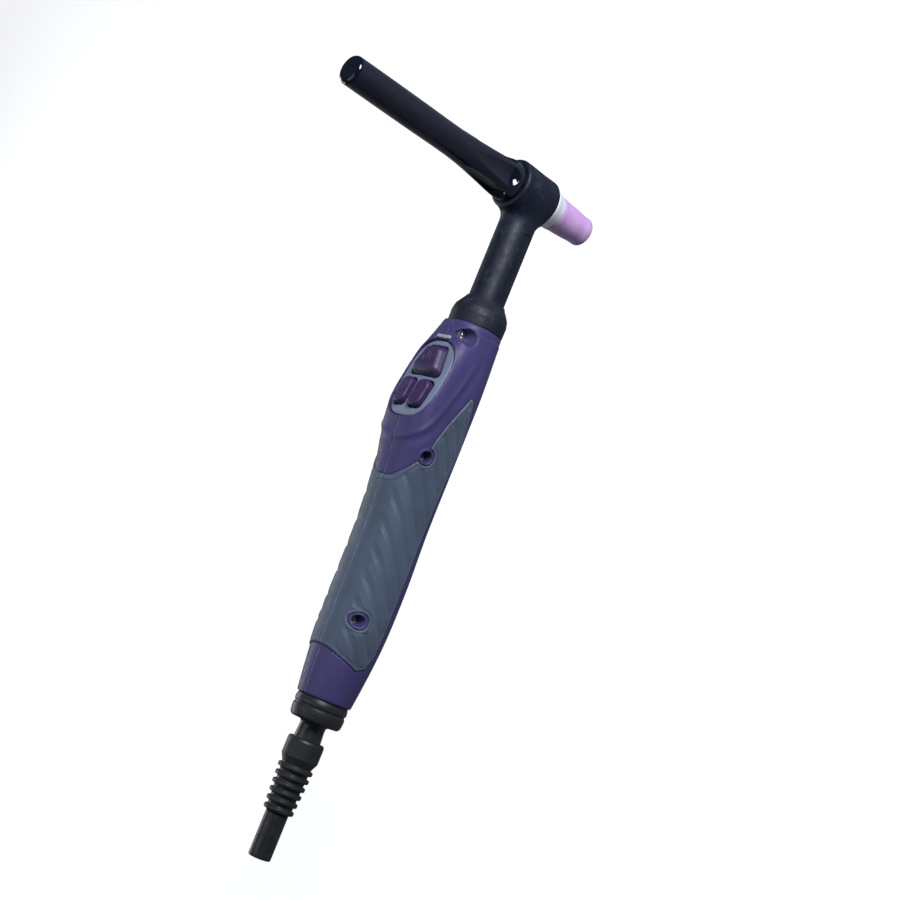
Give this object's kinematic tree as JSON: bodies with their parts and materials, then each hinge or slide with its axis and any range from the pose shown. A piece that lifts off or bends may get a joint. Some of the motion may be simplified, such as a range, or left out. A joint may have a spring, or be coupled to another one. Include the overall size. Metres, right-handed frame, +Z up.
{
  "type": "tig torch",
  "caption": "Air-cooled TIG welding torch: black head and back cap at a right angle to a purple handle with grey grips and a push-button panel.",
  "frame": {"origin": "centre of the gas nozzle's mouth, on the electrode axis", "axes": "+Z up the electrode axis towards the tip of the back cap, +X along the handle towards the head, +Y to the torch's left; the handle lies along -X"},
  "size_m": [0.3527, 0.0358, 0.1644],
  "materials": {
    "head_rubber": "moulded, satin",
    "boot_rubber": "moulded, matte",
    "brass": "machined",
    "copper": "machined, copper coloured",
    "white_insulator": "satin, PTFE",
    "pink_ceramic": "fired alumina, matte",
    "tungsten": "ground tip",
    "cap_plastic": "polished phenolic",
    "seal_rubber": "soft",
    "shell_plastic": "fine moulded texture",
    "grip_rubber": "soft touch, matte",
    "bezel_plastic": "fine moulded texture",
    "tab_plastic": "satin",
    "button_plastic": "satin, soft touch",
    "board": "solder mask",
    "switch_black": "satin",
    "lead_sheath": "smooth sheath",
    "steel": "zinc plated",
    "cable_sheath": "smooth sheath",
    "swivel_plastic": "glass-filled nylon",
    "knuckle_plastic": "satin nylon",
    "relief_rubber": "matte"
  },
  "bodies": {
    "torch": {"head_cover": "head_rubber", "neck_boot": "boot_rubber", "head_core": "brass", "collet_body": "brass", "collet": "copper", "shell_near": "shell_plastic", "shell_far": "shell_plastic", "grip_near": "grip_rubber", "grip_far": "grip_rubber", "switch_bezel": "bezel_plastic", "switch_board": "board", "tact_switches": "switch_black", "switch_lead": "lead_sheath", "handle_screws": "steel", "handle_nuts": "brass", "cable_union": "brass", "inner_cable": "cable_sheath"},
    "nozzle_ring": {"insulator_ring": "white_insulator"},
    "nozzle": {"gas_nozzle": "pink_ceramic"},
    "tungsten": {"electrode": "tungsten"},
    "cap": {"back_cap": "cap_plastic"},
    "cap_seal": {"cap_o_ring": "seal_rubber"},
    "release": {"release_tab": "tab_plastic"},
    "main_switch": {"main_button": "button_plastic"},
    "near_switch": {"near_button": "button_plastic"},
    "far_switch": {"far_button": "button_plastic"},
    "swivel": {"swivel_collar": "swivel_plastic"},
    "cable": {"cable_knuckle": "knuckle_plastic", "strain_relief": "relief_rubber", "power_cable": "cable_sheath"}
  },
  "joints": [
    {"name": "nozzle_ring_slide", "type": "slide", "parent": "torch", "child": "nozzle_ring", "axis": [0, 0, -1], "range_m": [0, 0.008]},
    {"name": "nozzle_turn", "type": "hinge", "parent": "nozzle_ring", "child": "nozzle", "pos_m": [0, 0, 0], "axis": [0, 0, -1], "range_deg": [0, 2304.1]},
    {"name": "cap_rise", "type": "slide", "parent": "torch", "child": "cap_seal", "axis": [0, 0, 1], "range_m": [0, 0.0075]},
    {"name": "cap_turn", "type": "hinge", "parent": "cap_seal", "child": "cap", "pos_m": [0, 0, 0.0554], "axis": [0, 0, 1], "range_deg": [0, 2160.1]},
    {"name": "electrode_slide", "type": "slide", "parent": "torch", "child": "tungsten", "axis": [0, 0, -1], "range_m": [-0.004, 0.01], "stiffness_N_per_m": 400},
    {"name": "main_button_press", "type": "slide", "parent": "torch", "child": "main_switch", "axis": [-0.1736, 0, -0.9848], "range_m": [0, 0.0012], "stiffness_N_per_m": 900},
    {"name": "near_button_press", "type": "slide", "parent": "torch", "child": "near_switch", "axis": [-0.1736, 0, -0.9848], "range_m": [0, 0.001], "stiffness_N_per_m": 900},
    {"name": "far_button_press", "type": "slide", "parent": "torch", "child": "far_switch", "axis": [-0.1736, 0, -0.9848], "range_m": [0, 0.001], "stiffness_N_per_m": 900},
    {"name": "release_tab_slide", "type": "slide", "parent": "torch", "child": "release", "axis": [-0.9848, 0, 0.1736], "range_m": [0, 0.0008], "stiffness_N_per_m": 900},
    {"name": "swivel_turn", "type": "hinge", "parent": "torch", "child": "swivel", "pos_m": [-0.268, 0, 0.0407], "axis": [1, 0, 0], "range_deg": [-180, 180]},
    {"name": "cable_tilt", "type": "hinge", "parent": "swivel", "child": "cable", "pos_m": [-0.268, 0, 0.0407], "axis": [0, 1, 0], "range_deg": [-25, 25], "stiffness_Nm_per_rad": 1.5}
  ],
  "couplings": [
    {"joint": "nozzle_turn", "follows": "nozzle_ring_slide", "rad_per_m": 5026.5},
    {"joint": "cap_turn", "follows": "cap_rise", "rad_per_m": 5026.5}
  ]
}
